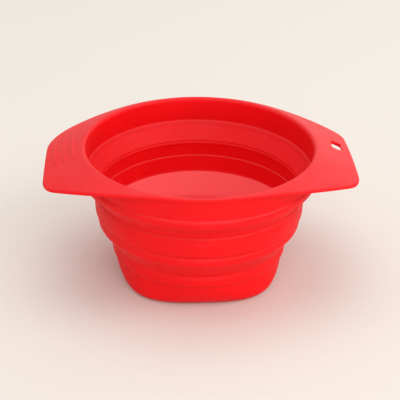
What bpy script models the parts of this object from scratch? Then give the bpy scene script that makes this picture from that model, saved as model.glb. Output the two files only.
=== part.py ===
"""Collapsible travel cup: a silicone cup of three stiff tiers joined by two folding webs.

Metres, +Z up. The origin is the centre of the base's underside, and +X runs along the two
handles, towards the one with the hang slot. The tiers slide down over each other along Z.
"""

import math

import bmesh
import bpy
from mathutils import Vector

# ---------------------------------------------------------------- driving dimensions (metres)
RIM_RADIUS = 0.0590            # inside of the mouth and of the collar
MIDDLE_RADIUS = 0.0532         # inside of the middle tier
LOWER_LEDGE_RADIUS = 0.0513    # inside of the middle tier's foot
BASE_RADIUS = 0.0444           # inside of the base tier
WALL = 0.0018                  # thickness of the stiff tiers
FOLD_WALL = 0.0014             # thickness of the folding webs
GAP = 0.0003                   # clearance between neighbouring pieces
ROUND_STEPS = 72               # facets round every turned piece

# Heights, from the top down
CREST_HEIGHT = 0.0735          # highest point of the rim, and so the cup's height
BEAD_TOP_HEIGHT = 0.0612       # step between the collar and the upper bead
UPPER_LEDGE_HEIGHT = 0.0588    # foot of the collar's inside, top of the upper web
MIDDLE_TOP_HEIGHT = 0.0497     # foot of the upper web, top of the middle tier
MIDDLE_LEDGE_HEIGHT = 0.0404   # small ledge round the inside of the middle band
GROOVE_HEIGHT = 0.0357         # groove between the middle band and the lower bead
LOWER_LEDGE_HEIGHT = 0.0317    # foot of the middle tier's inside, top of the lower web
BASE_TOP_HEIGHT = 0.0206       # foot of the lower web, top of the base tier
BASE_RING_HEIGHTS = (0.0190, 0.0149)    # top and foot of the ring round the base's wall
BASE_CORNER_HEIGHT = 0.0135    # where the base's wall starts to round under

# Rim flange with its two handles
HANDLE_REACH = 0.0801          # from the axis to the end of a handle
RIM_OUTER_RADIUS = 0.0615      # half the flange's width, at the middle of its long sides
RIM_ARC_ANGLE = math.radians(10.0)    # how far the narrow rim runs each side of that middle
SIDE_ARC_RADIUS = 0.151        # long side of a handle
CORNERS = (                    # radius of each handle's corners, by the signs of X and Y
    (1, 1, 0.0130),
    (-1, 1, 0.0300),
    (-1, -1, 0.0150),
    (1, -1, 0.0150),
)
FLANGE_WALL = 0.0020
CREST_RADIUS = 0.0605          # where the rim is highest
CREST_SOFTNESS = 0.0010        # how gently the rim rolls over into the brim
BRIM_SLOPE = 0.430             # fall of the brim for each unit of radius
LIP_FALL = 0.0009              # fall of the rounded lip, from the crest in to the mouth
LIP_RINGS = 2                  # rows of faces across the lip
BRIM_RINGS = 4                 # rows of faces from the crest out to the edge

# Hang slot, through the +X handle
SLOT_CENTRE = (0.0724, 0.0055)
SLOT_SIZE = (0.0099, 0.0050)   # along and across
SLOT_ANGLE = math.radians(84.0)
SLOT_CORNER = 0.0015

# Grip ribs, raised on the -X handle
RIB_COUNT = 3
RIB_FIRST_X = 0.0666           # how far out the first rib bows
RIB_PITCH = 0.0045
RIB_BOW_Y = 0.0090             # where the ribs bow furthest out
RIB_ARC_RADIUS = 0.120
RIB_ENDS_Y = (0.0165, -0.0130)
RIB_THICKNESS = 0.0009

# Base
FLOOR_WALL = 0.0020
FOOT_RADIUS = 0.0365           # outside of the flat that the cup stands on
FLOOR_RADIUS = 0.0340          # the separate floor inside that foot
FOOT_SQUARENESS = 3.4          # superellipse exponent of the foot, where 2 is round
BASE_STEP = 0.0012             # the wall under the base's ring stands in by this much
BASE_RING_ROUND = (0.0004, 0.0007)      # how far in and down the ring's foot is rounded
CORNER_FULLNESS = 1.75         # superellipse exponent of the base's rounded corner

# The webs keep this much of their slope's ends for the stiff tiers
WEB_INSET = 0.0006

SILICONE_RED = (0.89, 0.020, 0.026, 1.0)
FOLD_RED = (0.91, 0.035, 0.042, 1.0)


# ---------------------------------------------------------------- scene, tiers and materials
def clear_scene():
    for obj in list(bpy.data.objects):
        bpy.data.objects.remove(obj, do_unlink=True)


def new_collection(name):
    collection = bpy.data.collections.new(name)
    bpy.context.scene.collection.children.link(collection)
    return collection


def add_tier(name, height):
    """An empty on the cup's axis, which is the axis that the tiers slide along."""
    tier = bpy.data.objects.new(name, None)
    tier.empty_display_size = 0.02
    tier.location.z = height
    PARTS.objects.link(tier)
    bpy.context.view_layer.update()
    return tier


def silicone(name, colour, roughness):
    material = bpy.data.materials.new(name)
    material.use_nodes = True
    shader = material.node_tree.nodes["Principled BSDF"]
    shader.inputs["Base Color"].default_value = colour
    shader.inputs["Roughness"].default_value = roughness
    shader.inputs["Metallic"].default_value = 0.0
    material.diffuse_color = colour
    return material


def add_part(name, data, tier, colour=SILICONE_RED, roughness=0.5):
    """Make data, which is drawn in world coordinates, into a named part of a tier."""
    obj = bpy.data.objects.new(name, data)
    PARTS.objects.link(obj)
    obj.parent = tier
    obj.matrix_parent_inverse = tier.matrix_world.inverted()
    data.materials.append(silicone(name, colour, roughness))
    return obj


# ---------------------------------------------------------------- turned pieces
def arc(centre, radii, start, end, steps):
    """Points on an upright or level ellipse, from one angle to another, both included."""
    points = []
    for i in range(steps + 1):
        angle = start + (end - start) * i / steps
        points.append((centre[0] + radii[0] * math.cos(angle),
                       centre[1] + radii[1] * math.sin(angle)))
    return points


def base_corner(centre, radii, steps):
    """A quarter of a superellipse, from the base's wall down to its floor."""
    power = 2.0 / CORNER_FULLNESS
    points = []
    for i in range(steps + 1):
        angle = math.pi / 2 * i / steps
        points.append((centre[0] + radii[0] * math.cos(angle) ** power,
                       centre[1] - radii[1] * math.sin(angle) ** power))
    return points


def turned(name, section, tier, closed=True, **looks):
    """Turn a section of (radius, height) points that runs down its outside, up its inside."""
    mesh = bpy.data.meshes.new(name)
    points = [(radius, 0.0, height) for radius, height in section]
    edges = [(i, i + 1) for i in range(len(points) - 1)]
    if closed:
        edges.append((len(points) - 1, 0))
    mesh.from_pydata(points, edges, [])
    obj = add_part(name, mesh, tier, **looks)
    screw = obj.modifiers.new("turn", "SCREW")
    screw.axis = "Z"
    screw.angle = math.tau
    screw.steps = ROUND_STEPS
    screw.render_steps = ROUND_STEPS
    screw.use_merge_vertices = True
    screw.merge_threshold = 0.00001
    screw.use_smooth_shade = True
    return obj


def square_off(obj):
    """Flatten the four sides of a turned piece of the base, most of all at its foot."""
    evaluated = obj.evaluated_get(bpy.context.evaluated_depsgraph_get())
    mesh = bpy.data.meshes.new_from_object(evaluated)
    for vertex in mesh.vertices:
        radius = math.hypot(vertex.co.x, vertex.co.y)
        if radius > 0.0:
            share = min(max(1.0 - vertex.co.z / BASE_CORNER_HEIGHT, 0.0), 1.0) ** 2
            power = 2.0 + (FOOT_SQUARENESS - 2.0) * share
            across = abs(vertex.co.x / radius) ** power + abs(vertex.co.y / radius) ** power
            vertex.co.x *= across ** (-1.0 / power)
            vertex.co.y *= across ** (-1.0 / power)
    obj.modifiers.clear()
    obj.data = mesh


class Slope:
    """A folding web, whose inside is a straight line in the (radius, height) plane."""

    def __init__(self, top, foot):
        self.top = Vector(top)
        self.length = (Vector(foot) - self.top).length
        self.down = (Vector(foot) - self.top).normalized()
        self.outward = Vector((-self.down.y, self.down.x))

    def inner(self, distance):
        """The point on the inside, a distance down the slope from its top."""
        return tuple(self.top + self.down * distance)

    def outer(self, distance):
        """The point across the web from inner()."""
        return tuple(self.top + self.down * distance + self.outward * FOLD_WALL)

    def web(self):
        """Section of the web itself."""
        start = WEB_INSET
        end = self.length - WEB_INSET
        return [self.outer(start), self.outer(end), self.inner(end), self.inner(start)]

    def foot_of_tier(self):
        """Outside and inside points where the tier above the web stops."""
        return [self.outer(WEB_INSET - GAP), self.inner(WEB_INSET - GAP)]

    def head_of_tier(self):
        """Inside and outside points where the tier below the web starts."""
        start = self.length - WEB_INSET + GAP
        return [self.inner(start), self.outer(start)]


def make_base_tier(tier, lower_slope):
    """Floor, the wall with its ring and rounded foot, and the web above them."""
    floor = [(0.0, FLOOR_WALL), (FLOOR_RADIUS - GAP, FLOOR_WALL),
             (FLOOR_RADIUS, FLOOR_WALL - GAP), (FLOOR_RADIUS, 0.0), (0.0, 0.0)]
    square_off(turned("base_floor", floor, tier, closed=False))

    head_inner, head_outer = lower_slope.head_of_tier()
    foot_inner = FLOOR_RADIUS + GAP
    ring_outer = BASE_RADIUS + WALL
    wall_outer = ring_outer - BASE_STEP
    wall_inner = wall_outer - WALL
    ring_top, ring_foot = BASE_RING_HEIGHTS
    outside = [head_outer, (ring_outer, ring_top), (ring_outer, ring_foot),
               (ring_outer - BASE_RING_ROUND[0], ring_foot - BASE_RING_ROUND[1])]
    outside += base_corner((FOOT_RADIUS, BASE_CORNER_HEIGHT),
                           (wall_outer - FOOT_RADIUS, BASE_CORNER_HEIGHT), 9)
    inside = [(foot_inner, 0.0)]
    inside += base_corner((foot_inner, BASE_CORNER_HEIGHT),
                          (wall_inner - foot_inner, BASE_CORNER_HEIGHT - FLOOR_WALL), 8)[::-1]
    inside += [(BASE_RADIUS, BASE_TOP_HEIGHT), head_inner]
    square_off(turned("base_wall", outside + inside, tier))
    turned("lower_fold", lower_slope.web(), tier, colour=FOLD_RED, roughness=0.45)


def make_middle_tier(tier, upper_slope, lower_slope):
    """Lower bead, the band above its groove, and the web above them."""
    bead_top = GROOVE_HEIGHT - GAP / 2
    bead = [(0.0532, bead_top), (0.0535, 0.0346), (0.0537, 0.0332), (0.0536, 0.0318),
            (0.0532, 0.0307), (0.0526, 0.0300)]
    bead += lower_slope.foot_of_tier()
    bead += [(LOWER_LEDGE_RADIUS, LOWER_LEDGE_HEIGHT), (0.0518, bead_top)]
    turned("lower_bead", bead, tier)

    head_inner, head_outer = upper_slope.head_of_tier()
    band_foot = GROOVE_HEIGHT + GAP / 2
    band = [head_outer, (0.0542, 0.0484), (0.0541, 0.0476), (0.0545, 0.0466),
            (0.0549, 0.0435), (0.0550, 0.0400), (0.0547, 0.0380), (0.0532, band_foot),
            (0.0518, band_foot), (0.0525, MIDDLE_LEDGE_HEIGHT - GAP),
            (MIDDLE_RADIUS, MIDDLE_LEDGE_HEIGHT), (MIDDLE_RADIUS, MIDDLE_TOP_HEIGHT),
            head_inner]
    turned("middle_band", band, tier)
    turned("upper_fold", upper_slope.web(), tier, colour=FOLD_RED, roughness=0.45)


def make_rim_tier(tier, upper_slope):
    """Upper bead and, above its step, the collar."""
    collar_outer = RIM_RADIUS + WALL
    bead = [(collar_outer, BEAD_TOP_HEIGHT), (0.0614, 0.0606), (0.0616, 0.0592),
            (0.0613, 0.0577), (0.0607, 0.0567), (0.0601, 0.0563)]
    bead += upper_slope.foot_of_tier()
    bead += [(RIM_RADIUS, UPPER_LEDGE_HEIGHT), (RIM_RADIUS, BEAD_TOP_HEIGHT)]
    turned("upper_bead", bead, tier)

    collar_foot = BEAD_TOP_HEIGHT + GAP
    collar_top = CREST_HEIGHT - LIP_FALL - FLANGE_WALL - 2 * GAP
    collar = [(collar_outer, collar_top), (collar_outer, collar_foot),
              (RIM_RADIUS, collar_foot), (RIM_RADIUS, collar_top)]
    turned("collar", collar, tier)


# ---------------------------------------------------------------- rim flange
def brim_height(radius):
    """Height of the flange's top: a rounded lip, a crest, then a brim that falls away."""
    past = radius - CREST_RADIUS
    if past < 0.0:
        return CREST_HEIGHT - LIP_FALL * (past / (CREST_RADIUS - RIM_RADIUS)) ** 2
    return CREST_HEIGHT - BRIM_SLOPE * (math.hypot(past, CREST_SOFTNESS) - CREST_SOFTNESS)


def handle_outline(corner_radius):
    """A quarter of the flange's edge, from the middle of its +Y side to the +X handle's end."""
    side_offset = SIDE_ARC_RADIUS - RIM_OUTER_RADIUS
    side_centre = (-side_offset * math.sin(RIM_ARC_ANGLE),
                   -side_offset * math.cos(RIM_ARC_ANGLE))
    corner_x = HANDLE_REACH - corner_radius
    reach = SIDE_ARC_RADIUS - corner_radius
    corner_y = side_centre[1] + math.sqrt(reach ** 2 - (corner_x - side_centre[0]) ** 2)
    corner_angle = math.atan2(corner_y - side_centre[1], corner_x - side_centre[0])
    side_angle = math.pi / 2 - RIM_ARC_ANGLE

    points = arc((0.0, 0.0), (RIM_OUTER_RADIUS,) * 2, math.pi / 2, side_angle, 3)
    points += arc(side_centre, (SIDE_ARC_RADIUS,) * 2, side_angle, corner_angle, 9)[1:]
    points += arc((corner_x, corner_y), (corner_radius,) * 2, corner_angle, 0.0, 6)[1:]
    points += [(HANDLE_REACH, corner_y * share) for share in (0.75, 0.5, 0.25)]
    points.append((HANDLE_REACH, 0.0))
    return points


def flange_outline():
    """The whole edge, anticlockwise from the end of the +X handle."""
    points = []
    for sign_x, sign_y, corner_radius in CORNERS:
        quarter = [(sign_x * x, sign_y * y) for x, y in handle_outline(corner_radius)]
        if sign_x == sign_y:
            quarter.reverse()
        points += quarter[:-1]
    return points


def flange_surface():
    """The flange's top as rows of faces, from the round mouth out to the edge."""
    outline = flange_outline()
    vertices = []
    for x, y in outline:
        edge_radius = math.hypot(x, y)
        radii = [RIM_RADIUS + (CREST_RADIUS - RIM_RADIUS) * i / LIP_RINGS
                 for i in range(LIP_RINGS)]
        radii += [CREST_RADIUS + (edge_radius - CREST_RADIUS) * i / BRIM_RINGS
                  for i in range(BRIM_RINGS + 1)]
        for radius in radii:
            vertices.append((x * radius / edge_radius, y * radius / edge_radius,
                             brim_height(radius)))
    row = LIP_RINGS + BRIM_RINGS + 1
    count = len(outline)
    faces = []
    for i in range(count):
        here = i * row
        there = (i + 1) % count * row
        for k in range(row - 1):
            faces.append((here + k, here + k + 1, there + k + 1, there + k))
    mesh = bpy.data.meshes.new("rim_flange")
    mesh.from_pydata(vertices, [], faces)
    return mesh


def slot_cutter():
    """The hang slot as a block with rounded corners, seen from above."""
    half_length = SLOT_SIZE[0] / 2 - SLOT_CORNER
    half_width = SLOT_SIZE[1] / 2 - SLOT_CORNER
    corners = [(half_length, half_width), (-half_length, half_width),
               (-half_length, -half_width), (half_length, -half_width)]
    outline = []
    for i, corner in enumerate(corners):
        outline += arc(corner, (SLOT_CORNER,) * 2, i * math.pi / 2, (i + 1) * math.pi / 2, 3)

    curve = bpy.data.curves.new("slot_outline", "CURVE")
    curve.dimensions = "2D"
    curve.fill_mode = "BOTH"
    curve.extrude = 0.010
    spline = curve.splines.new("POLY")
    spline.points.add(len(outline) - 1)
    for point, (x, y) in zip(spline.points, outline):
        point.co = (x, y, 0.0, 1.0)
    spline.use_cyclic_u = True

    source = bpy.data.objects.new("slot_outline", curve)
    GUIDES.objects.link(source)
    source.location = (*SLOT_CENTRE, CREST_HEIGHT)
    source.rotation_euler.z = SLOT_ANGLE
    bpy.context.view_layer.update()
    evaluated = source.evaluated_get(bpy.context.evaluated_depsgraph_get())
    mesh = bpy.data.meshes.new_from_object(evaluated)
    weld(mesh)
    cutter = bpy.data.objects.new("slot_cutter", mesh)
    cutter.matrix_world = source.matrix_world
    cutter.hide_render = True
    cutter.display_type = "WIRE"
    GUIDES.objects.link(cutter)
    bpy.data.objects.remove(source, do_unlink=True)
    return cutter


def weld(mesh):
    """Join the loose caps of a mesh that was made from a curve."""
    shape = bmesh.new()
    shape.from_mesh(mesh)
    bmesh.ops.remove_doubles(shape, verts=shape.verts, dist=0.000001)
    shape.to_mesh(mesh)
    shape.free()


def make_flange(tier):
    """The lens-shaped rim plate with a handle at each end."""
    flange = add_part("rim_flange", flange_surface(), tier)
    solidify = flange.modifiers.new("thickness", "SOLIDIFY")
    solidify.thickness = FLANGE_WALL
    solidify.offset = -1.0
    solidify.use_even_offset = True
    slot = flange.modifiers.new("hang slot", "BOOLEAN")
    slot.operation = "DIFFERENCE"
    slot.solver = "EXACT"
    slot.object = slot_cutter()


def make_grip_ribs(tier):
    """Short raised ribs across the -X handle, bowed a little outward."""
    start, end = [math.pi - math.asin((y - RIB_BOW_Y) / RIB_ARC_RADIUS) for y in RIB_ENDS_Y]
    for i in range(RIB_COUNT):
        centre_x = RIB_ARC_RADIUS - RIB_FIRST_X - i * RIB_PITCH
        outline = arc((centre_x, RIB_BOW_Y), (RIB_ARC_RADIUS, RIB_ARC_RADIUS), start, end, 12)
        curve = bpy.data.curves.new("grip_rib_%d" % (i + 1), "CURVE")
        curve.dimensions = "3D"
        curve.bevel_depth = RIB_THICKNESS / 2
        curve.bevel_resolution = 2
        curve.use_fill_caps = True
        spline = curve.splines.new("POLY")
        spline.points.add(len(outline) - 1)
        for point, (x, y) in zip(spline.points, outline):
            height = brim_height(math.hypot(x, y)) + RIB_THICKNESS / 2 + GAP
            point.co = (x, y, height, 1.0)
        add_part(curve.name, curve, tier)


# ---------------------------------------------------------------- the cup
clear_scene()
PARTS = new_collection("collapsible_travel_cup")
GUIDES = new_collection("cutters")

upper_slope = Slope((RIM_RADIUS, UPPER_LEDGE_HEIGHT), (MIDDLE_RADIUS, MIDDLE_TOP_HEIGHT))
lower_slope = Slope((LOWER_LEDGE_RADIUS, LOWER_LEDGE_HEIGHT), (BASE_RADIUS, BASE_TOP_HEIGHT))

base_tier = add_tier("base_tier", 0.0)
middle_tier = add_tier("middle_tier", LOWER_LEDGE_HEIGHT)
rim_tier = add_tier("rim_tier", UPPER_LEDGE_HEIGHT)

make_base_tier(base_tier, lower_slope)
make_middle_tier(middle_tier, upper_slope, lower_slope)
make_rim_tier(rim_tier, upper_slope)
make_flange(rim_tier)
make_grip_ribs(rim_tier)
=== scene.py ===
"""Collapsible silicone travel cup: the visual model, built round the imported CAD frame.

Lengths are in metres unless a name ends in MM. The cup stands on z = 0, its axis is Z, and the
handles lie along X. The cup is one soft moulding, so the pieces meet at its natural creases.
"""

import math

import bpy
import numpy as np
from mathutils import Matrix, Vector


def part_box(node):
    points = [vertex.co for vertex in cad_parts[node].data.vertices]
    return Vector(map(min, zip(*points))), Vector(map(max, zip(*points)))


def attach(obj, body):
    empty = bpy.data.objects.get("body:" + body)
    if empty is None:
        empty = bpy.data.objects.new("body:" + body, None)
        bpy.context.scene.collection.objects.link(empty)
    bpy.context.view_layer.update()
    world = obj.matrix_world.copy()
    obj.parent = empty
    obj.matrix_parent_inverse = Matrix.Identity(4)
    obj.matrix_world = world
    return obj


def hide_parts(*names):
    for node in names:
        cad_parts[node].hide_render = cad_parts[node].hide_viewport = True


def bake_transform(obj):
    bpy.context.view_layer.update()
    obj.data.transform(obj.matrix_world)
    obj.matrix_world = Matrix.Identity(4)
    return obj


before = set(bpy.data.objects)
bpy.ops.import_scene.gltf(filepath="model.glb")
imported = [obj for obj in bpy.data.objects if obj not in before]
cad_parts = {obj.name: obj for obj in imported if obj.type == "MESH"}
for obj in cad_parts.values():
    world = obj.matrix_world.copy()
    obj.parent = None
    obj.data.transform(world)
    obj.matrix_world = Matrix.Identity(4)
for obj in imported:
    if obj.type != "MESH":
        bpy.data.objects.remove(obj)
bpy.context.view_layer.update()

MM = 0.001
TURN = 2.0 * math.pi

# ------------------------------------------------------------------ dimensions, from the frame
FLANGE_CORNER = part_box("rim_flange")[1]
CREST_MM = FLANGE_CORNER.z / MM            # top of the rim
REACH_MM = FLANGE_CORNER.x / MM            # end of a handle
RIM_OUTER_MM = FLANGE_CORNER.y / MM        # half the flange's width

# Rim and flange
MOUTH_MM = 59.0                # inside of the mouth and collar
COLLAR_MM = 60.8               # outside of the collar
CREST_RADIUS_MM = 60.5
CREST_SOFT_MM = 1.0
BRIM_SLOPE = 0.430
BRIM_DROP_MM = 2.18            # the brim's thickness, measured upright
LIP_DEPTH_MM = 2.2             # height of the rounded lip
EDGE_MM = 0.95                 # rounding of the flange's edge
UNDER_FILLET_MM = 1.3          # where the brim's underside meets the collar
RIM_ARC = math.radians(10.0)
SIDE_ARC_MM = 151.0
# radius of the handles' corners, by the signs of x and y
CORNERS_MM = {(1, 1): 13.0, (-1, 1): 30.0, (-1, -1): 15.0, (1, -1): 15.0}

# Hang slot in the +X handle
SLOT_CENTRE_MM = (72.4, 5.5)
SLOT_HALF_MM = (4.95, 2.50)
SLOT_CORNER_MM = 1.5
SLOT_TURN = math.radians(-96.0)
SLOT_EDGE_MM = 0.45
SLOT_BLOCK_MM = (8.0, 5.0)     # half the patch of the brim that is built round the slot

# Grip ribs on the -X handle
RIB_COUNT = 3
RIB_FIRST_MM = 66.6
RIB_PITCH_MM = 4.5
RIB_WIDTH_MM = 2.0
RIB_HEIGHT_MM = 0.70
RIB_BOW_MM = 9.0               # y where the ribs bow furthest out
RIB_ARC_MM = 120.0
RIB_MIDDLE_MM = 1.8            # y of the middle of their length
RIB_REACH_MM = 15.0            # half that length

# Upper web, then lower web: (radius, height) at the top and foot of the inside
UPPER_WEB_MM = ((58.4, 59.7), (53.2, 49.7))
LOWER_WEB_MM = ((51.3, 31.7), (44.4, 20.6))
WEB_WALL_MM = 1.4

# Base, with a soft-square foot
FLOOR_MM = 2.0                 # thickness of the floor
FLOOR_FLAT_MM = 30.0           # radius of the flat inside, at most
FOOT_SQUARENESS = 3.4          # superellipse exponent of the foot, where 2 is round
FOOT_CORNER_MM = 13.5          # height where the wall starts to round under
CORNER_FULLNESS = 1.75         # superellipse exponent of that rounded corner

# Faces round the cup, then rows of faces
COLUMNS_RIM = 464
COLUMNS_TURNED = 288
BRIM_ROWS = 48                 # from the crest out to the edge
UNDER_ROWS = 44                # from the edge in to the collar, below
EDGE_ROWS = 6                  # round the edge, above and below
LIP_ROWS = 9                   # over the lip of the mouth
SLOT_RINGS = 6                 # from the brim's grid in to the slot
SLOT_EDGE_ROWS = 4             # round each edge of the slot
WEB_ROWS = 26                  # down each side of a web

# Silicone, and the painted sheen, painted highlights and painted light patch on it
DEEP_RED = (0.73, 0.003, 0.006)
# painted sheen colour: a painted sky reflection on faces that look up, and painted highlights on
# convex edges
PAINTED_SHEEN_RED = (0.67, 0.044, 0.050)
# the same painted sheen colour, paler, on the upper web
UPPER_WEB_SHEEN_RED = (0.80, 0.062, 0.072)
# painted light: the pale patch low inside the base and lower web, and the painted sheen colour on
# those pieces
PAINTED_LIGHT_RED = (0.88, 0.105, 0.115)
SHINE = 0.20                   # specular level
SHEEN = 0.03
TIER_SHEEN_SHARE = 0.72              # most of the painted sheen, a painted sky reflection, on a face that looks up
# shares of the painted sheen on the upper web, then on the base and lower web
UPPER_WEB_SHEEN_SHARE = 0.60
LOW_SHEEN_SHARE = 0.55
LEFT_HANDLE_SHEEN_SHARE = 0.62              # how much of the painted sheen is left on the -X handle, as painted shade on the side away from the key light
BASE_LIT_PATCH_REACH = 0.0460       # metres from the axis to the edge of the painted light patch low inside
# the same edge of the painted light patch, on the lower web
LOWER_WEB_LIT_PATCH_REACH = 0.0520

# Floor and light
FLOOR_COLOUR = (0.70, 0.665, 0.615, 1.0)
SKY_COLOUR = (1.0, 0.985, 0.97, 1.0)
SKY_STRENGTH = 0.82
# name, place, width and height, power in watts, colour
LIGHTS = (
    ("key_from_right", (1.25, -0.35, 0.85), (0.9, 0.9), 5.0, (1.0, 0.97, 0.94)),
    ("sky_above", (-0.1, 0.15, 1.5), (1.2, 1.2), 6.0, (1.0, 0.99, 0.98)),
    ("back_right", (0.75, 1.3, 0.50), (1.2, 0.5), 2.2, (1.0, 0.99, 0.98)),
    ("front_high", (0.30, -1.2, 1.20), (1.6, 0.8), 6.0, (1.0, 0.98, 0.96)),
    ("low_front_fill", (0.35, -1.5, 0.16), (1.8, 0.30), 7.5, (1.0, 0.98, 0.96)),
)

# Camera
CAMERA_PLACE = Vector((0.000517, -0.527574, 0.325746))
CAMERA_PITCH = math.radians(28.44)
CAMERA_ROLL = math.radians(0.848)
CUP_YAW = math.radians(3.6)
CAMERA_LENS_MM = 101.46


# ------------------------------------------------------------------ profiles
def rounded(corners, step=0.45, turn_step=math.radians(9.0)):
    """A path of (radius, height) points in mm through (radius, height, fillet) corners.

    Each corner is replaced by an arc of its fillet's radius, and straights are cut at each step.
    """
    path = [np.array(corners[0][:2], float)]
    for before, corner, after in zip(corners, corners[1:], corners[2:]):
        here = np.array(corner[:2], float)
        back = np.array(before[:2], float) - here
        on = np.array(after[:2], float) - here
        back_length, on_length = np.linalg.norm(back), np.linalg.norm(on)
        back, on = back / back_length, on / on_length
        inside = math.acos(max(-1.0, min(1.0, float(back @ on))))
        turn = math.pi - inside
        reach = corner[2] * math.tan(turn / 2.0)
        reach = min(reach, 0.48 * back_length, 0.48 * on_length)
        if turn < 0.01 or reach < 1e-6:
            path.append(here)
            continue
        radius = reach / math.tan(turn / 2.0)
        middle = back + on
        centre = here + middle / np.linalg.norm(middle) * math.hypot(radius, reach)
        first, last = here + back * reach - centre, here + on * reach - centre
        start = math.atan2(first[1], first[0])
        sweep = math.atan2(last[1], last[0]) - start
        sweep = (sweep + math.pi) % TURN - math.pi
        count = max(2, round(abs(sweep) / turn_step))
        for i in range(count + 1):
            angle = start + sweep * i / count
            path.append(centre + radius * np.array([math.cos(angle), math.sin(angle)]))
    path.append(np.array(corners[-1][:2], float))
    return cut_straights(path, step)


def cut_straights(path, step):
    """The same path with no part longer than step."""
    fine = [path[0]]
    for a, b in zip(path, path[1:]):
        count = max(1, math.ceil(np.linalg.norm(b - a) / step))
        fine += [a + (b - a) * (i + 1) / count for i in range(count)]
    return np.array(fine)


class Web:
    """A folding web: a straight slope in (radius, height), in mm."""

    def __init__(self, ends):
        self.top, foot = np.array(ends[0]), np.array(ends[1])
        self.length = float(np.linalg.norm(foot - self.top))
        self.down = (foot - self.top) / self.length
        self.out = np.array([-self.down[1], self.down[0]])

    def at(self, share, depth):
        """The point that share of the way down, and depth mm out from the inside."""
        return self.top + self.down * self.length * share + self.out * depth


# ------------------------------------------------------------------ meshes
def mesh_object(name, vertices, faces):
    """A smooth mesh from vertices in mm, without those that no face uses."""
    used = sorted({i for face in faces for i in face})
    place = {old: new for new, old in enumerate(used)}
    mesh = bpy.data.meshes.new(name)
    mesh.from_pydata([tuple(vertices[i] * MM) for i in used], [],
                     [[place[i] for i in face] for face in faces])
    mesh.polygons.foreach_set("use_smooth", [True] * len(mesh.polygons))
    mesh.update()
    obj = bpy.data.objects.new(name, mesh)
    bpy.context.scene.collection.objects.link(obj)
    return obj


def ring_faces(first, second, columns):
    """Faces between two rings that start at these vertices, seen from outside."""
    faces = []
    for j in range(columns):
        k = (j + 1) % columns
        faces.append((first + j, second + j, second + k, first + k))
    return faces


def turned(name, path, shape=None):
    """Turn a path about Z. It runs up the inside and down the outside.

    A path that starts and ends on the axis is closed with fans there, and any other is a loop.
    """
    angles = np.arange(COLUMNS_TURNED) / COLUMNS_TURNED * TURN
    capped = path[0][0] < 1e-6
    body = path[1:-1] if capped else path
    points = np.concatenate([
        np.column_stack([radius * np.cos(angles), radius * np.sin(angles),
                         np.full(COLUMNS_TURNED, height)])
        for radius, height in body])
    faces = []
    for i in range(len(body) - 1):
        faces += ring_faces(i * COLUMNS_TURNED, (i + 1) * COLUMNS_TURNED, COLUMNS_TURNED)
    last_ring = (len(body) - 1) * COLUMNS_TURNED
    if capped:
        poles = len(points)
        points = np.vstack([points, [0.0, 0.0, path[0][1]], [0.0, 0.0, path[-1][1]]])
        for j in range(COLUMNS_TURNED):
            k = (j + 1) % COLUMNS_TURNED
            faces.append((poles, j, k))
            faces.append((poles + 1, last_ring + k, last_ring + j))
    else:
        faces += ring_faces(last_ring, 0, COLUMNS_TURNED)
    if shape:
        points = shape(points)
    return mesh_object(name, points, faces)


def soft_waves(points, low, high, depth, seed):
    """Push points in and out a little between two heights, as thin silicone sags."""
    x, y, z = points.T
    angle = np.arctan2(y, x)
    share = np.clip((z - low) / (high - low), 0.0, 1.0)
    window = np.sin(share * math.pi) ** 2
    rng = np.random.default_rng(seed)
    wave = np.zeros(len(points))
    for count in (2, 3, 5, 7, 11, 16):
        phase, lean = rng.uniform(0.0, TURN), rng.uniform(-1.5, 1.5)
        wave += np.sin(count * angle + phase + lean * share) / count ** 0.6
    radius = np.hypot(x, y) + depth * wave * window
    return np.column_stack([radius * np.cos(angle), radius * np.sin(angle), z])


# ------------------------------------------------------------------ flange outline and heights
def outline(angle):
    """Point on the flange's edge in that direction, and the edge's outward normal there."""
    flip = np.array([math.copysign(1.0, math.cos(angle)), math.copysign(1.0, math.sin(angle))])
    ray = np.array([abs(math.cos(angle)), abs(math.sin(angle))])
    folded = math.atan2(ray[1], ray[0])

    offset = SIDE_ARC_MM - RIM_OUTER_MM
    side = np.array([-offset * math.sin(RIM_ARC), -offset * math.cos(RIM_ARC)])
    corner_mm = CORNERS_MM[tuple(flip)]
    corner_x = REACH_MM - corner_mm
    reach = SIDE_ARC_MM - corner_mm
    corner = np.array([corner_x, side[1] + math.sqrt(reach ** 2 - (corner_x - side[0]) ** 2)])
    join = side + (corner - side) / reach * SIDE_ARC_MM

    if folded >= math.pi / 2 - RIM_ARC:
        return ray * RIM_OUTER_MM * flip, ray * flip
    if folded >= math.atan2(join[1], join[0]):
        centre, radius = side, SIDE_ARC_MM
    elif folded >= math.atan2(corner[1], REACH_MM):
        centre, radius = corner, corner_mm
    else:
        return ray * (REACH_MM / ray[0]) * flip, np.array([1.0, 0.0]) * flip
    along = float(ray @ centre)
    point = ray * (along + math.sqrt(along ** 2 - float(centre @ centre) + radius ** 2))
    return point * flip, (point - centre) / radius * flip


def brim_top(plan):
    """Height of the brim's top over each (x, y)."""
    past = np.maximum(np.hypot(plan[:, 0], plan[:, 1]) - CREST_RADIUS_MM, 0.0)
    return CREST_MM - BRIM_SLOPE * (np.hypot(past, CREST_SOFT_MM) - CREST_SOFT_MM)


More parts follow.
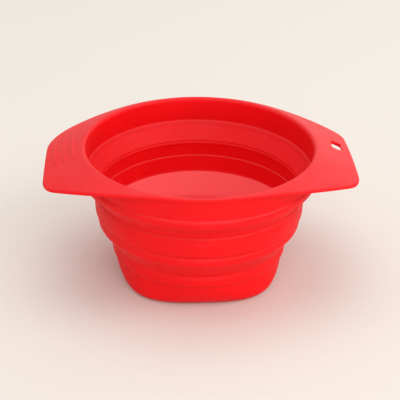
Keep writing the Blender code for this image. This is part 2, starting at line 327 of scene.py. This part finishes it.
def rib_relief(plan):
    """Height of the grip ribs over each (x, y)."""
    fade = np.clip((RIB_REACH_MM - np.abs(plan[:, 1] - RIB_MIDDLE_MM)) / 3.5, 0.0, 1.0)
    fade = fade * fade * (3.0 - 2.0 * fade)
    height = np.zeros(len(plan))
    for i in range(RIB_COUNT):
        centre_x = RIB_ARC_MM - RIB_FIRST_MM - i * RIB_PITCH_MM
        radius = np.hypot(plan[:, 0] - centre_x, plan[:, 1] - RIB_BOW_MM)
        across = np.where(plan[:, 0] < 0.0, radius - RIB_ARC_MM, 99.0) / (RIB_WIDTH_MM / 2.0)
        bump = np.cos(np.clip(across, -1.0, 1.0) * math.pi / 2.0) ** 2
        height = np.maximum(height, bump * fade * RIB_HEIGHT_MM)
    return height


# ------------------------------------------------------------------ hang slot
def slot_edge(cells_along, cells_across):
    """Points round the slot and their outward normals, denser at its corners.

    They start at the corner that is nearest the mouth and the slot's +along end, and run
    clockwise as seen from above, as block_loop does.
    """
    along = np.array([math.cos(SLOT_TURN), math.sin(SLOT_TURN)])
    across = np.array([-along[1], along[0]])
    half = np.array(SLOT_HALF_MM) - SLOT_CORNER_MM
    signs = [np.array(s, float) for s in ((1, -1), (-1, -1), (-1, 1), (1, 1))]
    quarter = SLOT_CORNER_MM * math.pi / 4.0
    points, normals = [], []
    for k in range(4):
        start, end = half * signs[k], half * signs[(k + 1) % 4]
        straight = float(np.linalg.norm(end - start))
        onward = (end - start) / straight
        side = (signs[k] + signs[(k + 1) % 4]) / 2.0
        total = straight + 2.0 * quarter
        count = cells_along if k % 2 == 0 else cells_across
        for i in range(count):
            t = i / count
            distance = total * (t - 0.6 * math.sin(TURN * t) / TURN)
            if distance < quarter:
                bend = math.pi / 4.0 - distance / SLOT_CORNER_MM
                normal = side * math.cos(bend) - onward * math.sin(bend)
                place = start
            elif distance > total - quarter:
                bend = (distance - total + quarter) / SLOT_CORNER_MM
                normal = side * math.cos(bend) + onward * math.sin(bend)
                place = end
            else:
                normal = side
                place = start + onward * (distance - quarter)
            place = place + normal * SLOT_CORNER_MM
            points.append(SLOT_CENTRE_MM + along * place[0] + across * place[1])
            normals.append(along * normal[0] + across * normal[1])
    return np.array(points), np.array(normals)


def block_loop(near, far, low, high):
    """Vertex numbers round a block of the grid, clockwise as seen from above.

    near and far are the rings nearest and furthest from the mouth.
    """
    toward = 1 if far > near else -1
    columns = list(range(low, high))
    rings = list(range(near, far, toward))
    loop = [(near, j) for j in columns] + [(i, high) for i in rings]
    loop += [(far, j + 1) for j in reversed(columns)] + [(i + toward, low) for i in reversed(rings)]
    return [i * COLUMNS_RIM + j % COLUMNS_RIM for i, j in loop]


def cut_slot(rings, first_top, first_under):
    """Vertices and faces of the rim moulding, with the hang slot cut through its brim.

    A block of the grid is left out above and below, and loops of faces run from its edge in
    to the slot, down through it and back out.
    """
    angle = math.atan2(SLOT_CENTRE_MM[1], SLOT_CENTRE_MM[0])
    radius = math.hypot(*SLOT_CENTRE_MM)
    middle = round(angle / TURN * COLUMNS_RIM)
    reach = round(SLOT_BLOCK_MM[0] / radius / TURN * COLUMNS_RIM)
    low, high = middle - reach, middle + reach

    def ring_at(first, count, wanted):
        radii = [math.hypot(*rings[first + i][middle % COLUMNS_RIM, :2]) for i in range(count)]
        return first + int(np.argmin(np.abs(np.array(radii) - wanted)))

    top_near = ring_at(first_top, BRIM_ROWS, radius - SLOT_BLOCK_MM[1])
    top_far = ring_at(first_top, BRIM_ROWS, radius + SLOT_BLOCK_MM[1])
    under_far = ring_at(first_under, UNDER_ROWS, radius + SLOT_BLOCK_MM[1])
    under_near = under_far + (top_far - top_near)

    points = np.concatenate(rings)
    top_loop = block_loop(top_near, top_far, low, high)
    under_loop = block_loop(under_near, under_far, low, high)
    edge, normal = slot_edge(high - low, top_far - top_near)
    wide = edge + normal * SLOT_EDGE_MM

    loops = []
    for i in range(1, SLOT_RINGS + 1):
        plan = points[top_loop, :2] * (1.0 - i / SLOT_RINGS) + wide * (i / SLOT_RINGS)
        loops.append(np.column_stack([plan, brim_top(plan)]))
    for i in range(1, SLOT_EDGE_ROWS + 1):
        a = math.pi / 2.0 * i / SLOT_EDGE_ROWS
        plan = edge + normal * SLOT_EDGE_MM * (1.0 - math.sin(a))
        loops.append(np.column_stack([plan, brim_top(plan) - SLOT_EDGE_MM * (1.0 - math.cos(a))]))
    for i in range(SLOT_EDGE_ROWS + 1):
        a = math.pi / 2.0 * (1.0 - i / SLOT_EDGE_ROWS)
        plan = edge + normal * SLOT_EDGE_MM * (1.0 - math.sin(a))
        rise = SLOT_EDGE_MM * (1.0 - math.cos(a)) - BRIM_DROP_MM
        loops.append(np.column_stack([plan, brim_top(plan) + rise]))
    for i in range(1, SLOT_RINGS):
        plan = wide * (1.0 - i / SLOT_RINGS) + points[under_loop, :2] * (i / SLOT_RINGS)
        loops.append(np.column_stack([plan, brim_top(plan) - BRIM_DROP_MM]))

    numbers = [top_loop]
    for loop in loops:
        numbers.append(list(range(len(points), len(points) + len(loop))))
        points = np.vstack([points, loop])
    numbers.append(under_loop)

    left_out = {j % COLUMNS_RIM for j in range(low, high)}
    gone = set(range(top_near, top_far)) | set(range(under_far, under_near))
    faces = []
    for i in range(len(rings)):
        row = ring_faces(i * COLUMNS_RIM, (i + 1) % len(rings) * COLUMNS_RIM, COLUMNS_RIM)
        if i in gone:
            row = [face for j, face in enumerate(row) if j not in left_out]
        faces += row
    for first, second in zip(numbers, numbers[1:]):
        for m in range(len(first)):
            n = (m + 1) % len(first)
            faces.append((first[m], second[m], second[n], first[n]))
    return points, faces


# ------------------------------------------------------------------ rim moulding
def make_rim(upper_web):
    """Flange, collar and upper bead: up the inside, over the lip, out, back and down."""
    angles = np.arange(COLUMNS_RIM) / COLUMNS_RIM * TURN
    ray = np.column_stack([np.cos(angles), np.sin(angles)])
    edge, normal = (np.array(v) for v in zip(*[outline(a) for a in angles]))
    edge_radius = np.hypot(edge[:, 0], edge[:, 1])
    overhang = edge_radius - COLLAR_MM
    top_round = np.minimum(EDGE_MM, 0.8 * (edge_radius - CREST_RADIUS_MM))
    under_round = np.minimum(EDGE_MM, 0.45 * overhang)
    under_fillet = np.minimum(UNDER_FILLET_MM, 0.45 * overhang)

    def level(radius, height):
        return np.column_stack([ray * radius, np.full(COLUMNS_RIM, height)])

    web_top = upper_web.at(0.0, 0.0)
    inside = rounded([
        (*upper_web.at(0.20, 0.9), 0.0),
        (*upper_web.at(0.198, -0.02), 0.02),
        (*upper_web.at(0.010, -0.05), 0.9),
        (MOUTH_MM, web_top[1] + 0.35, 1.2),
        (MOUTH_MM, CREST_MM - LIP_DEPTH_MM, 0.0),
    ], step=0.9)
    rings = [level(r, z) for r, z in inside]
    for i in range(1, LIP_ROWS + 1):
        a = math.pi / 2.0 * i / LIP_ROWS
        rings.append(level(CREST_RADIUS_MM - (CREST_RADIUS_MM - MOUTH_MM) * math.cos(a),
                           CREST_MM - LIP_DEPTH_MM * (1.0 - math.sin(a))))

    first_top = len(rings) - 1
    crest = ray * CREST_RADIUS_MM
    top_end = edge - normal * top_round[:, None]
    for i in range(1, BRIM_ROWS + 1):
        plan = crest + (top_end - crest) * (i / BRIM_ROWS)
        rings.append(np.column_stack([plan, brim_top(plan) + rib_relief(plan)]))
    for i in range(1, EDGE_ROWS + 1):
        a = math.pi / 2.0 * i / EDGE_ROWS
        plan = edge - normal * (top_round * (1.0 - math.sin(a)))[:, None]
        rings.append(np.column_stack([plan, brim_top(plan) - top_round * (1.0 - math.cos(a))]))
    for i in range(EDGE_ROWS + 1):
        a = math.pi / 2.0 * (1.0 - i / EDGE_ROWS)
        plan = edge - normal * (under_round * (1.0 - math.sin(a)))[:, None]
        rise = under_round * (1.0 - math.cos(a)) - BRIM_DROP_MM
        rings.append(np.column_stack([plan, brim_top(plan) + rise]))

    first_under = len(rings) - 1
    under_start = edge - normal * under_round[:, None]
    under_end = ray * (COLLAR_MM + under_fillet)[:, None]
    for i in range(1, UNDER_ROWS + 1):
        plan = under_start + (under_end - under_start) * (i / UNDER_ROWS)
        rings.append(np.column_stack([plan, brim_top(plan) - BRIM_DROP_MM]))
    brim_foot = rings[-1][:, 2]
    for i in range(1, EDGE_ROWS + 1):
        a = math.pi / 2.0 * i / EDGE_ROWS
        radius = COLLAR_MM + under_fillet * (1.0 - math.sin(a))
        rings.append(np.column_stack([ray * radius[:, None],
                                      brim_foot - under_fillet * (1.0 - math.cos(a))]))

    outside = rounded([
        (COLLAR_MM, CREST_MM - 6.0, 0.0),
        (COLLAR_MM, 61.15, 0.8),
        (61.55, 60.35, 1.4),
        (61.85, 58.9, 3.0),
        (61.05, 56.2, 1.1),
        (59.95, 55.9, 0.7),
        (*upper_web.at(0.09, WEB_WALL_MM + 0.05), 0.15),
        (*upper_web.at(0.09, 0.9), 0.0),
    ], step=0.9)
    rings += [level(r, z) for r, z in outside[:-1]]
    return mesh_object("rim_moulding", *cut_slot(rings, first_top, first_under))


# ------------------------------------------------------------------ webs, middle tier and base
def make_web(name, web, seed):
    """A thin folding web whose ends are hidden in the tiers that it joins."""
    low = web.at(1.0, WEB_WALL_MM)[1]
    high = web.at(0.0, 0.0)[1]
    shares = np.linspace(1.0, 0.0, WEB_ROWS)
    inner = [web.at(s, 0.0) for s in shares]
    outer = [web.at(s, WEB_WALL_MM) for s in shares[::-1]]
    path = np.array(inner + [web.at(-0.01, WEB_WALL_MM / 2)] + outer
                    + [web.at(1.01, WEB_WALL_MM / 2)])
    return turned(name, path, lambda points: soft_waves(points, low, high, 0.07, seed))


def make_middle(upper_web, lower_web):
    """The middle tier: a band with a rounded head, a groove, and the bead under it."""
    ledge = lower_web.at(0.0, 0.0)
    head = upper_web.at(1.0, 0.0)
    path = rounded([
        (*lower_web.at(0.05, 0.9), 0.0),
        (*lower_web.at(0.030, -0.03), 0.03),
        (ledge[0] - 0.02, ledge[1] + 0.10, 0.25),
        (ledge[0] + 0.20, ledge[1] + 0.90, 0.5),
        (52.45, 39.8, 0.3),
        (52.50, 40.5, 0.25),
        (53.25, 40.9, 0.3),
        (53.25, 47.2, 0.4),
        (52.85, 47.9, 0.35),
        (52.85, 48.6, 0.35),
        (head[0] + 0.05, head[1] - 0.35, 0.5),
        (*upper_web.at(0.93, -0.03), 0.03),
        (*upper_web.at(0.93, 0.9), 0.0),
        (*upper_web.at(0.95, WEB_WALL_MM + 0.08), 0.2),
        (54.35, 48.6, 0.4),
        (54.05, 47.75, 0.35),
        (54.70, 47.15, 0.45),
        (55.10, 43.0, 8.0),
        (54.95, 37.6, 1.6),
        (53.15, 36.2, 0.6),
        (53.05, 35.2, 0.5),
        (53.50, 34.2, 0.9),
        (53.70, 32.6, 2.0),
        (53.40, 31.0, 1.2),
        (52.60, 29.9, 0.7),
        (*lower_web.at(0.06, WEB_WALL_MM + 0.05), 0.15),
        (*lower_web.at(0.05, 0.9), 0.0),
    ])
    return turned("middle_tier", path[:-1])


def base_corner(centre, radii, count):
    """A quarter of a superellipse, from the base's wall down to its floor."""
    power = 2.0 / CORNER_FULLNESS
    angles = np.linspace(0.0, math.pi / 2.0, count + 1)
    return [(centre[0] + radii[0] * abs(math.cos(a)) ** power,
             centre[1] - radii[1] * abs(math.sin(a)) ** power, 0.0) for a in angles]


def square_foot(points):
    """Flatten the four sides of the base, most of all at its foot."""
    x, y, z = points.T
    radius = np.maximum(np.hypot(x, y), 1e-9)
    share = np.clip(1.0 - z / FOOT_CORNER_MM, 0.0, 1.0) ** 2
    power = 2.0 + (FOOT_SQUARENESS - 2.0) * share * np.clip(radius / FLOOR_FLAT_MM, 0.0, 1.0)
    across = np.abs(x / radius) ** power + np.abs(y / radius) ** power
    across = np.where(radius > 1e-6, across, 1.0)
    return np.column_stack([x * across ** (-1.0 / power), y * across ** (-1.0 / power), z])


def make_base(lower_web):
    """Floor and rounded wall of the base, on a foot round a shallow recess."""
    path = rounded([
        (0.0, FLOOR_MM, 0.0),
        (FLOOR_FLAT_MM, FLOOR_MM, 0.0),
        *base_corner((34.3, FOOT_CORNER_MM), (9.0, FOOT_CORNER_MM - FLOOR_MM), 24)[::-1],
        (43.6, 19.3, 8.0),
        (*lower_web.at(0.87, -0.03), 0.03),
        (*lower_web.at(0.87, 0.9), 0.0),
        (*lower_web.at(0.95, WEB_WALL_MM + 0.08), 0.2),
        (46.15, 19.7, 0.5),
        (46.45, 18.0, 2.0),
        (46.45, 15.1, 1.6),
        (45.45, 13.4, 1.2),
        *base_corner((36.5, FOOT_CORNER_MM), (8.6, FOOT_CORNER_MM), 26),
        (31.2, 0.0, 0.3),
        (30.5, 0.45, 0.3),
        (1.9, 0.45, 0.1),
        (1.6, 0.25, 0.1),
        (0.0, 0.25, 0.0),
    ], step=0.8)
    return turned("base_cup", path, square_foot)


# ------------------------------------------------------------------ silicone
def node(tree, kind, **values):
    """A shader node, with its inputs or else its settings given by name."""
    made = tree.nodes.new(kind)
    for key, value in values.items():
        if key in made.inputs:
            made.inputs[key].default_value = value
        else:
            setattr(made, key, value)
    return made


def place_on_cup(tree):
    return node(tree, "ShaderNodeTexCoord").outputs["Object"]


def separated(tree, vector, axis):
    parts = node(tree, "ShaderNodeSeparateXYZ")
    tree.links.new(vector, parts.inputs["Vector"])
    return parts.outputs[axis]


def noise(tree, scale, detail, roughness=0.55):
    texture = node(tree, "ShaderNodeTexNoise", Scale=scale, Detail=detail, Roughness=roughness)
    tree.links.new(place_on_cup(tree), texture.inputs["Vector"])
    return texture.outputs["Fac"]


def mapped(tree, value, from_low, from_high, to_low, to_high):
    """value moved from one range to another, and held inside it."""
    ranged = node(tree, "ShaderNodeMapRange")
    for key, number in zip(("From Min", "From Max", "To Min", "To Max"),
                           (from_low, from_high, to_low, to_high)):
        ranged.inputs[key].default_value = number
    tree.links.new(value, ranged.inputs["Value"])
    return ranged.outputs["Result"]


def blended(tree, share, first, second):
    """A colour between first and second, either of them a colour or a socket."""
    mix = tree.nodes.new("ShaderNodeMix")
    mix.data_type = "RGBA"
    share_in, first_in, second_in = mix.inputs[0], mix.inputs[6], mix.inputs[7]
    tree.links.new(share, share_in)
    for socket, colour in ((first_in, first), (second_in, second)):
        if isinstance(colour, tuple):
            socket.default_value = (*colour, 1.0)
        else:
            tree.links.new(colour, socket)
    return mix.outputs[2]


def product(tree, a, b):
    times = node(tree, "ShaderNodeMath", operation="MULTIPLY")
    tree.links.new(a, times.inputs[0])
    tree.links.new(b, times.inputs[1])
    return times.outputs[0]


def inside_low_down(tree, reach_m):
    """1 on faces within reach of the axis that look in at it, and 0 on all others."""
    flat = node(tree, "ShaderNodeVectorMath", operation="MULTIPLY")
    flat.inputs[1].default_value = (1.0, 1.0, 0.0)
    tree.links.new(place_on_cup(tree), flat.inputs[0])
    reach = node(tree, "ShaderNodeVectorMath", operation="LENGTH")
    tree.links.new(flat.outputs[0], reach.inputs[0])
    near_axis = mapped(tree, reach.outputs["Value"], reach_m - 0.0002, reach_m, 1.0, 0.0)
    height = separated(tree, place_on_cup(tree), "Z")
    outward = node(tree, "ShaderNodeVectorMath", operation="DOT_PRODUCT")
    geometry = node(tree, "ShaderNodeNewGeometry")
    tree.links.new(flat.outputs[0], outward.inputs[0])
    tree.links.new(geometry.outputs["True Normal"], outward.inputs[1])
    facing_in = mapped(tree, outward.outputs["Value"], -0.004, 0.004, 1.0, 0.0)
    above_foot = mapped(tree, height, 0.0015, 0.0019, 0.0, 1.0)
    return product(tree, product(tree, near_axis, facing_in), above_foot)


def silicone(name, sheen_colour, sheen_share, left_sheen_share=None, lit_patch_reach=None):
    """Matt moulded silicone, deep red, with painted light on it.

    Faces that look up get a painted pale sheen, a painted reflection of the sky, and sheen_share is
    most of it. The -X handle, on the side away from the key light, gets painted shade: it keeps
    only left_sheen_share of that sheen. Low down inside, out to lit_patch_reach metres from the
    axis, the silicone gets a painted patch of pale light. Convex edges get a painted highlight.
    """
    material = bpy.data.materials.new(name)
    material.use_nodes = True
    tree = material.node_tree
    shader = tree.nodes["Principled BSDF"]

    mottle = mapped(tree, noise(tree, 45.0, 4.0), 0.35, 0.65, 0.0, 1.0)
    body = blended(tree, mottle, DEEP_RED, tuple(c * 1.05 for c in DEEP_RED))
    # painted light: a pale patch low inside, near the axis, on faces that look in
    if lit_patch_reach:
        body = blended(tree, inside_low_down(tree, lit_patch_reach), body, PAINTED_LIGHT_RED)

    geometry = node(tree, "ShaderNodeNewGeometry")
    # painted sheen: faces that look up are painted paler, as a painted reflection of the sky
    looks_up = separated(tree, geometry.outputs["Normal"], "Z")
    upward = mapped(tree, looks_up, 0.15, 0.95, 0.0, sheen_share)
    cloud = mapped(tree, noise(tree, 120.0, 6.0), 0.30, 0.70, 0.65, 1.0)
    # painted shade: the -X handle, away from the key light, keeps less of the painted sheen
    if left_sheen_share:
        along = separated(tree, place_on_cup(tree), "X")
        kept = mapped(tree, along, -0.075, -0.030, left_sheen_share, 1.0)
        cloud = product(tree, cloud, kept)
    colour = blended(tree, product(tree, upward, cloud), body, sheen_colour)

    # painted highlight: convex edges painted paler, broken up by noise
    edge_highlight = mapped(tree, geometry.outputs["Pointiness"], 0.53, 0.62, 0.0, 0.18)
    edge_highlight_breakup = mapped(tree, noise(tree, 900.0, 3.0), 0.45, 0.62, 0.2, 1.0)
    colour = blended(tree, product(tree, edge_highlight, edge_highlight_breakup), colour, sheen_colour)
    tree.links.new(colour, shader.inputs["Base Color"])

    tree.links.new(mapped(tree, noise(tree, 260.0, 5.0), 0.3, 0.7, 0.44, 0.60),
                   shader.inputs["Roughness"])
    shader.inputs["IOR"].default_value = 1.41
    shader.inputs["Specular IOR Level"].default_value = SHINE
    shader.inputs["Sheen Weight"].default_value = SHEEN
    shader.inputs["Sheen Roughness"].default_value = 0.45
    shader.inputs["Sheen Tint"].default_value = (1.0, 0.35, 0.33, 1.0)

    grain = node(tree, "ShaderNodeBump", Strength=0.18, Distance=0.00006)
    tree.links.new(noise(tree, 2600.0, 3.0, 0.6), grain.inputs["Height"])
    swell = node(tree, "ShaderNodeBump", Strength=0.25, Distance=0.0006)
    tree.links.new(noise(tree, 70.0, 2.0), swell.inputs["Height"])
    tree.links.new(grain.outputs["Normal"], swell.inputs["Normal"])
    tree.links.new(swell.outputs["Normal"], shader.inputs["Normal"])
    return material


# ------------------------------------------------------------------ studio
def make_floor():
    mesh = bpy.data.meshes.new("studio_floor")
    half = 3.0
    mesh.from_pydata([(-half, -half, 0.0), (half, -half, 0.0), (half, half, 0.0),
                      (-half, half, 0.0)], [], [(0, 1, 2, 3)])
    floor = bpy.data.objects.new("studio_floor", mesh)
    bpy.context.scene.collection.objects.link(floor)
    material = bpy.data.materials.new("pale_floor")
    material.use_nodes = True
    shader = material.node_tree.nodes["Principled BSDF"]
    shader.inputs["Base Color"].default_value = FLOOR_COLOUR
    shader.inputs["Roughness"].default_value = 0.9
    shader.inputs["Specular IOR Level"].default_value = 0.1
    mesh.materials.append(material)


def add_light(name, place, size, power, colour):
    lamp = bpy.data.lights.new(name, "AREA")
    lamp.shape = "ELLIPSE"
    lamp.size, lamp.size_y = size
    lamp.energy = power
    lamp.color = colour
    obj = bpy.data.objects.new(name, lamp)
    obj.location = place
    aim = Vector((0.0, 0.0, 0.04)) - Vector(place)
    obj.rotation_mode = "QUATERNION"
    obj.rotation_quaternion = aim.to_track_quat("-Z", "Y")
    bpy.context.scene.collection.objects.link(obj)


def light_studio():
    world = bpy.data.worlds.new("soft_daylight")
    bpy.context.scene.world = world
    world.use_nodes = True
    background = world.node_tree.nodes["Background"]
    background.inputs["Color"].default_value = SKY_COLOUR
    background.inputs["Strength"].default_value = SKY_STRENGTH
    for light in LIGHTS:
        add_light(*light)
    bpy.context.scene.view_settings.view_transform = "Standard"


def add_camera():
    """In front of the cup, looking down on it, and turned a little round the cup's axis."""
    lens = bpy.data.cameras.new("camera")
    lens.sensor_width = 36.0
    lens.lens = CAMERA_LENS_MM
    camera = bpy.data.objects.new("camera", lens)
    bpy.context.scene.collection.objects.link(camera)
    forward = Vector((0.0, math.cos(CAMERA_PITCH), -math.sin(CAMERA_PITCH)))
    aimed = Matrix.Translation(CAMERA_PLACE) @ forward.to_track_quat("-Z", "Y").to_matrix().to_4x4()
    level = Matrix.Rotation(CAMERA_ROLL, 4, "Z")
    camera.matrix_world = Matrix.Rotation(-CUP_YAW, 4, "Z") @ aimed @ level
    bpy.context.scene.camera = camera


# ------------------------------------------------------------------ the cup
upper_web = Web(UPPER_WEB_MM)
lower_web = Web(LOWER_WEB_MM)

# each piece gets painted sheen on faces that look up; the base and lower web also get a painted
# light patch inside
tier_finish = silicone("silicone_tiers", PAINTED_SHEEN_RED, TIER_SHEEN_SHARE, left_sheen_share=LEFT_HANDLE_SHEEN_SHARE)
base_finish = silicone("silicone_base", PAINTED_LIGHT_RED, LOW_SHEEN_SHARE, lit_patch_reach=BASE_LIT_PATCH_REACH)
upper_finish = silicone("silicone_upper_web", UPPER_WEB_SHEEN_RED, UPPER_WEB_SHEEN_SHARE)
lower_finish = silicone("silicone_lower_web", PAINTED_LIGHT_RED, LOW_SHEEN_SHARE,
                        lit_patch_reach=LOWER_WEB_LIT_PATCH_REACH)

rim = make_rim(upper_web)
middle = make_middle(upper_web, lower_web)
base = make_base(lower_web)
upper_fold = make_web("upper_folding_web", upper_web, 11)
lower_fold = make_web("lower_folding_web", lower_web, 23)

for piece, finish in ((rim, tier_finish), (middle, tier_finish), (base, base_finish),
                      (upper_fold, upper_finish), (lower_fold, lower_finish)):
    piece.data.materials.append(finish)

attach(rim, "rim")
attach(middle, "middle")
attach(base, "base")
for piece, lower_body, upper_body, web in ((upper_fold, "middle", "rim", upper_web),
                                           (lower_fold, "base", "middle", lower_web)):
    foot, top = web.at(1.0, WEB_WALL_MM / 2), web.at(0.0, WEB_WALL_MM / 2)
    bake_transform(piece)

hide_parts("rim_flange", "collar", "upper_bead", "grip_rib_1", "grip_rib_2", "grip_rib_3")
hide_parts("lower_bead", "middle_band")
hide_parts("base_wall", "base_floor")
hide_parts("upper_fold")
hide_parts("lower_fold")

make_floor()
light_studio()
add_camera()
